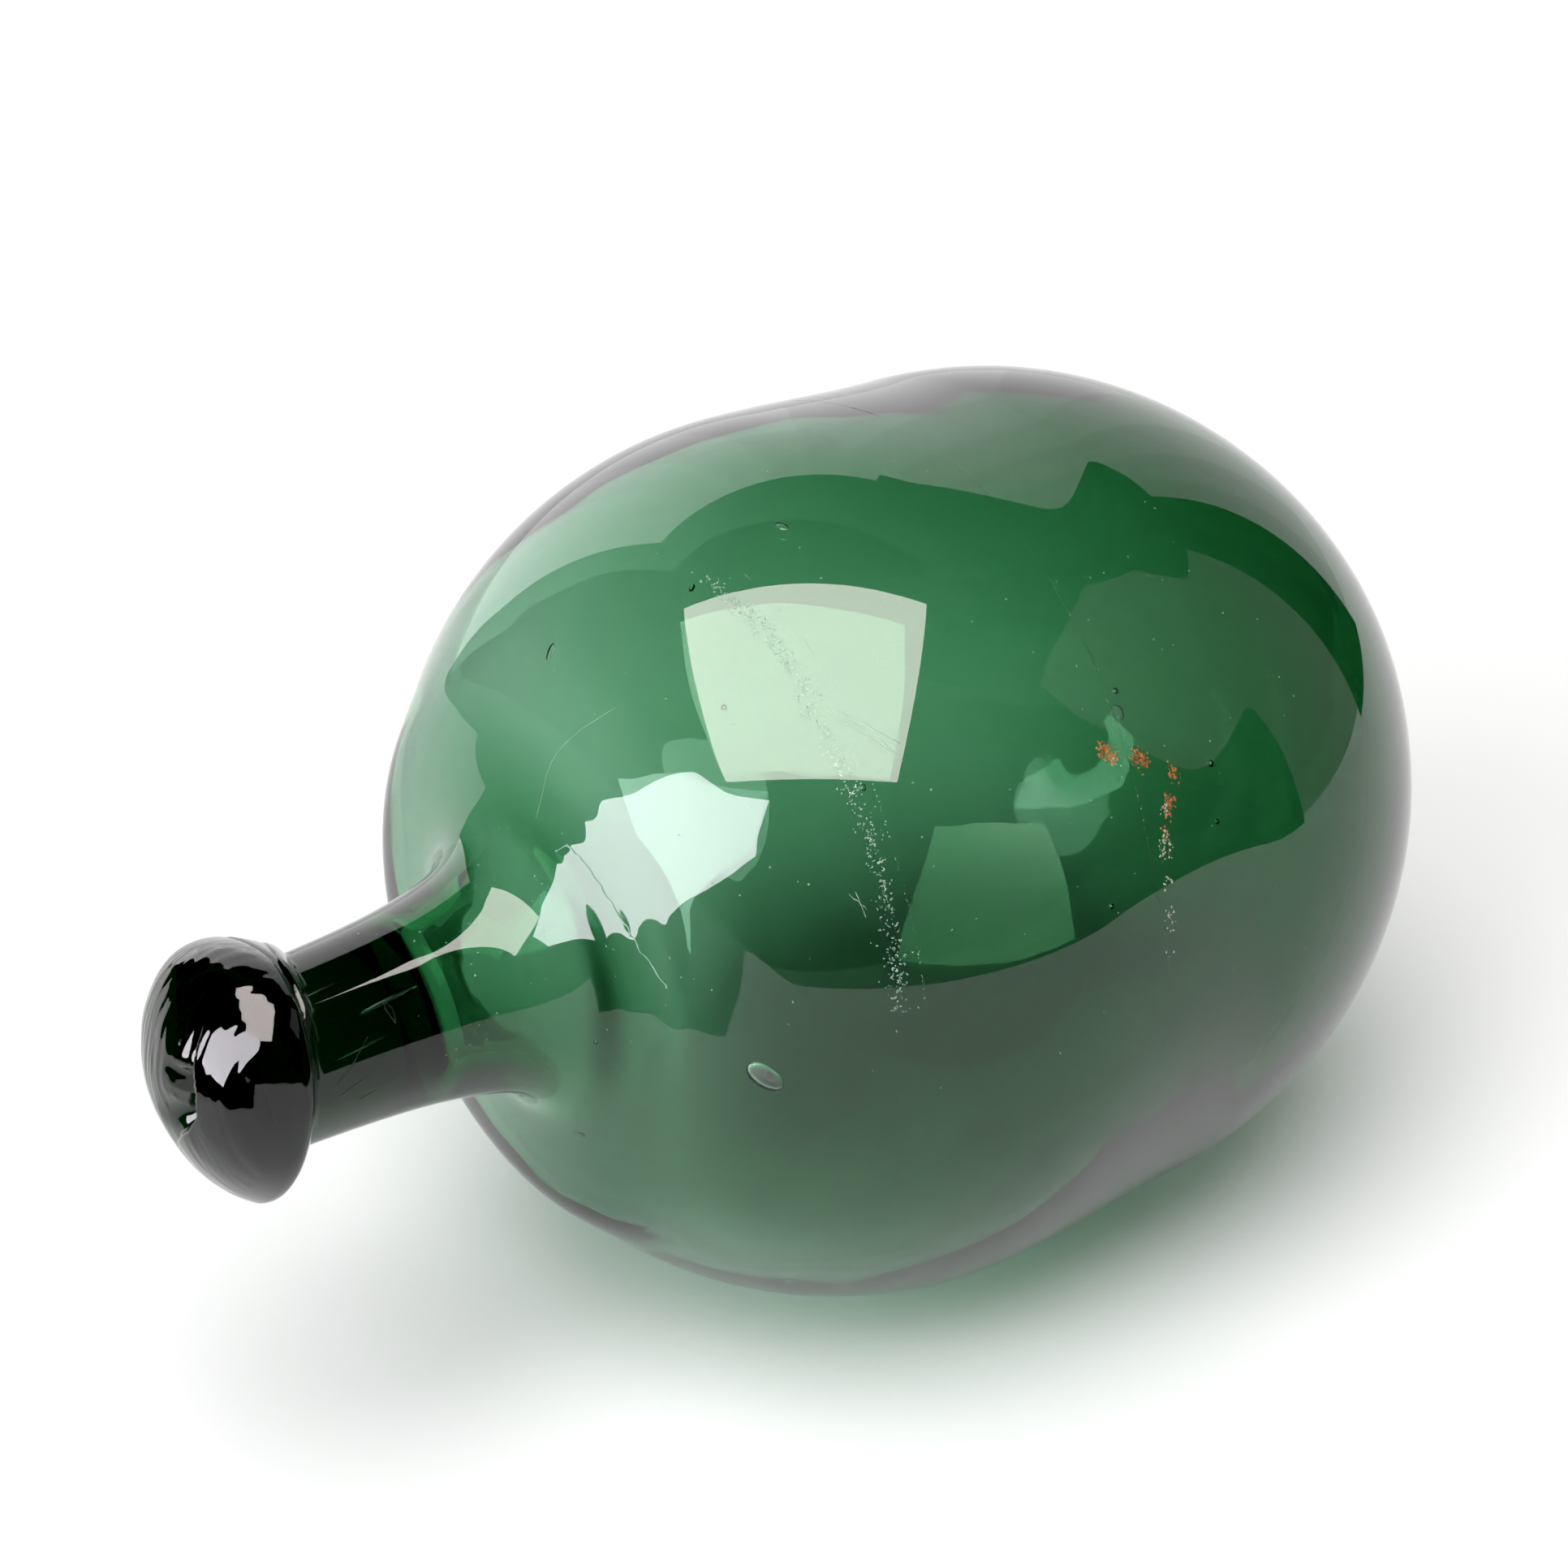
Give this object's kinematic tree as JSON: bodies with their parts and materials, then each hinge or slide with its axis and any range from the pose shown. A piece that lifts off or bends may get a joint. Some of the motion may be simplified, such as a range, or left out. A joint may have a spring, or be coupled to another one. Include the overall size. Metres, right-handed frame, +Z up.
{
  "type": "glass net float",
  "caption": "Hand-blown green glass net float: long body with two soft bulges, flared neck and thick folded sealing knob, lying on its side on a small flat spot.",
  "frame": {"origin": "on the resting plane, under the middle of the bounding box", "axes": "+Z up, +X along the float toward its closed far end, so the knob points to -X"},
  "size_m": [0.3332, 0.21, 0.2093],
  "materials": {
    "green_glass": "clear bottle-green glass, glossy, lightly scratched and dusty"
  },
  "bodies": {
    "root": {"glass_float": "green_glass"}
  },
  "joints": []
}
